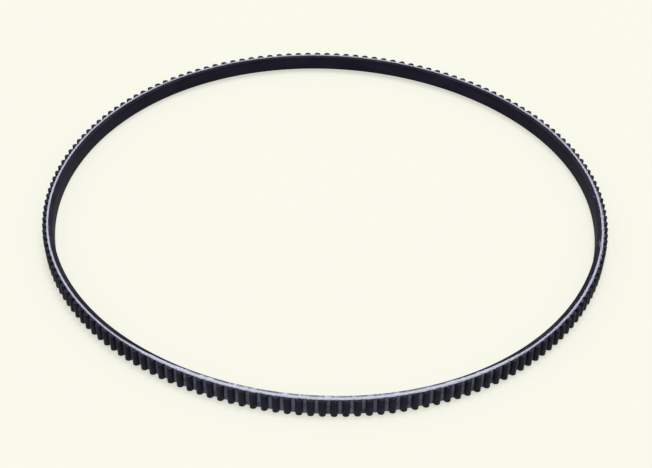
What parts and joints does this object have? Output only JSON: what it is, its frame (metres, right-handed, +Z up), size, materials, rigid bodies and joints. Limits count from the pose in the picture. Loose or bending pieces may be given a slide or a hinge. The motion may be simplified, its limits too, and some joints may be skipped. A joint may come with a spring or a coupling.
{
  "type": "timing belt",
  "caption": "Endless rubber timing belt with rounded teeth on the outside of the loop, smooth back, tension cords and tooth facing; the loop can be squeezed to an oval.",
  "frame": {"origin": "centre of the loop's plan, on the plane of the lower cut edge", "axes": "+Z up, along the belt's width; +Y away from the front, along the loop's longer way; +X to the right"},
  "size_m": [0.2676, 0.2981, 0.008],
  "materials": {
    "back_rubber": "ground matte",
    "tooth_rubber": "moulded matte",
    "cord_fibre": "twisted glass fibre, cut",
    "facing_fabric": "woven nylon, rubber-soaked"
  },
  "bodies": {
    "section_01": {"rubber_back_01": "back_rubber", "tension_cords_01": "cord_fibre", "rubber_teeth_01": "tooth_rubber", "tooth_facing_01": "facing_fabric"},
    "section_02": {"rubber_back_02": "back_rubber", "tension_cords_02": "cord_fibre", "rubber_teeth_02": "tooth_rubber", "tooth_facing_02": "facing_fabric"},
    "section_03": {"rubber_back_03": "back_rubber", "tension_cords_03": "cord_fibre", "rubber_teeth_03": "tooth_rubber", "tooth_facing_03": "facing_fabric"},
    "section_04": {"rubber_back_04": "back_rubber", "tension_cords_04": "cord_fibre", "rubber_teeth_04": "tooth_rubber", "tooth_facing_04": "facing_fabric"},
    "section_05": {"rubber_back_05": "back_rubber", "tension_cords_05": "cord_fibre", "rubber_teeth_05": "tooth_rubber", "tooth_facing_05": "facing_fabric"},
    "section_06": {"rubber_back_06": "back_rubber", "tension_cords_06": "cord_fibre", "rubber_teeth_06": "tooth_rubber", "tooth_facing_06": "facing_fabric"},
    "section_07": {"rubber_back_07": "back_rubber", "tension_cords_07": "cord_fibre", "rubber_teeth_07": "tooth_rubber", "tooth_facing_07": "facing_fabric"},
    "section_08": {"rubber_back_08": "back_rubber", "tension_cords_08": "cord_fibre", "rubber_teeth_08": "tooth_rubber", "tooth_facing_08": "facing_fabric"},
    "section_09": {"rubber_back_09": "back_rubber", "tension_cords_09": "cord_fibre", "rubber_teeth_09": "tooth_rubber", "tooth_facing_09": "facing_fabric"},
    "section_10": {"rubber_back_10": "back_rubber", "tension_cords_10": "cord_fibre", "rubber_teeth_10": "tooth_rubber", "tooth_facing_10": "facing_fabric"},
    "section_11": {"rubber_back_11": "back_rubber", "tension_cords_11": "cord_fibre", "rubber_teeth_11": "tooth_rubber", "tooth_facing_11": "facing_fabric"},
    "section_12": {"rubber_back_12": "back_rubber", "tension_cords_12": "cord_fibre", "rubber_teeth_12": "tooth_rubber", "tooth_facing_12": "facing_fabric"},
    "section_13": {"rubber_back_13": "back_rubber", "tension_cords_13": "cord_fibre", "rubber_teeth_13": "tooth_rubber", "tooth_facing_13": "facing_fabric"}
  },
  "joints": [
    {"name": "bend_01_02", "type": "hinge", "parent": "section_02", "child": "section_01", "pos_m": [-0.12163, 0.05555, 0.004], "axis": [0, 0, 1], "range_deg": [-5.68, 5.68]},
    {"name": "bend_02_03", "type": "hinge", "parent": "section_03", "child": "section_02", "pos_m": [-0.13086, 0.00158, 0.004], "axis": [0, 0, 1], "range_deg": [-8.02, 8.02]},
    {"name": "bend_03_04", "type": "hinge", "parent": "section_04", "child": "section_03", "pos_m": [-0.1232, -0.04761, 0.004], "axis": [0, 0, 1], "range_deg": [-5.68, 5.68]},
    {"name": "bend_04_05", "type": "hinge", "parent": "section_05", "child": "section_04", "pos_m": [-0.05492, -0.13052, 0.004], "axis": [0, 0, 1], "range_deg": [-5.68, 5.68]},
    {"name": "squeeze", "type": "hinge", "parent": "section_06", "child": "section_05", "pos_m": [-0.0025, -0.14565, 0.004], "axis": [0, 0, 1], "range_deg": [-8, 8]},
    {"name": "bend_06_07", "type": "hinge", "parent": "section_07", "child": "section_06", "pos_m": [0.05111, -0.13594, 0.004], "axis": [0, 0, 1], "range_deg": [-5.68, 5.68]},
    {"name": "bend_07_08", "type": "hinge", "parent": "section_07", "child": "section_08", "pos_m": [0.12163, -0.05555, 0.004], "axis": [0, 0, 1], "range_deg": [-5.68, 5.68]},
    {"name": "bend_08_09", "type": "hinge", "parent": "section_08", "child": "section_09", "pos_m": [0.13086, -0.00158, 0.004], "axis": [0, 0, 1], "range_deg": [-8.02, 8.02]},
    {"name": "bend_09_10", "type": "hinge", "parent": "section_09", "child": "section_10", "pos_m": [0.1232, 0.04761, 0.004], "axis": [0, 0, 1], "range_deg": [-5.68, 5.68]},
    {"name": "bend_10_11", "type": "hinge", "parent": "section_10", "child": "section_11", "pos_m": [0.05492, 0.13052, 0.004], "axis": [0, 0, 1], "range_deg": [-5.68, 5.68]},
    {"name": "bend_11_12", "type": "hinge", "parent": "section_11", "child": "section_12", "pos_m": [0.0025, 0.14565, 0.004], "axis": [0, 0, 1], "range_deg": [-8.02, 8.02]},
    {"name": "bend_12_13", "type": "hinge", "parent": "section_12", "child": "section_13", "pos_m": [-0.05111, 0.13594, 0.004], "axis": [0, 0, 1], "range_deg": [-5.68, 5.68]}
  ],
  "couplings": [
    {"joint": "bend_01_02", "follows": "squeeze", "ratio": -0.70711},
    {"joint": "bend_02_03", "follows": "squeeze", "ratio": -1},
    {"joint": "bend_03_04", "follows": "squeeze", "ratio": -0.70711},
    {"joint": "bend_04_05", "follows": "squeeze", "ratio": 0.70711},
    {"joint": "bend_06_07", "follows": "squeeze", "ratio": 0.70711},
    {"joint": "bend_07_08", "follows": "squeeze", "ratio": 0.70711},
    {"joint": "bend_08_09", "follows": "squeeze", "ratio": 1},
    {"joint": "bend_09_10", "follows": "squeeze", "ratio": 0.70711},
    {"joint": "bend_10_11", "follows": "squeeze", "ratio": -0.70711},
    {"joint": "bend_11_12", "follows": "squeeze", "ratio": -1},
    {"joint": "bend_12_13", "follows": "squeeze", "ratio": -0.70711}
  ]
}
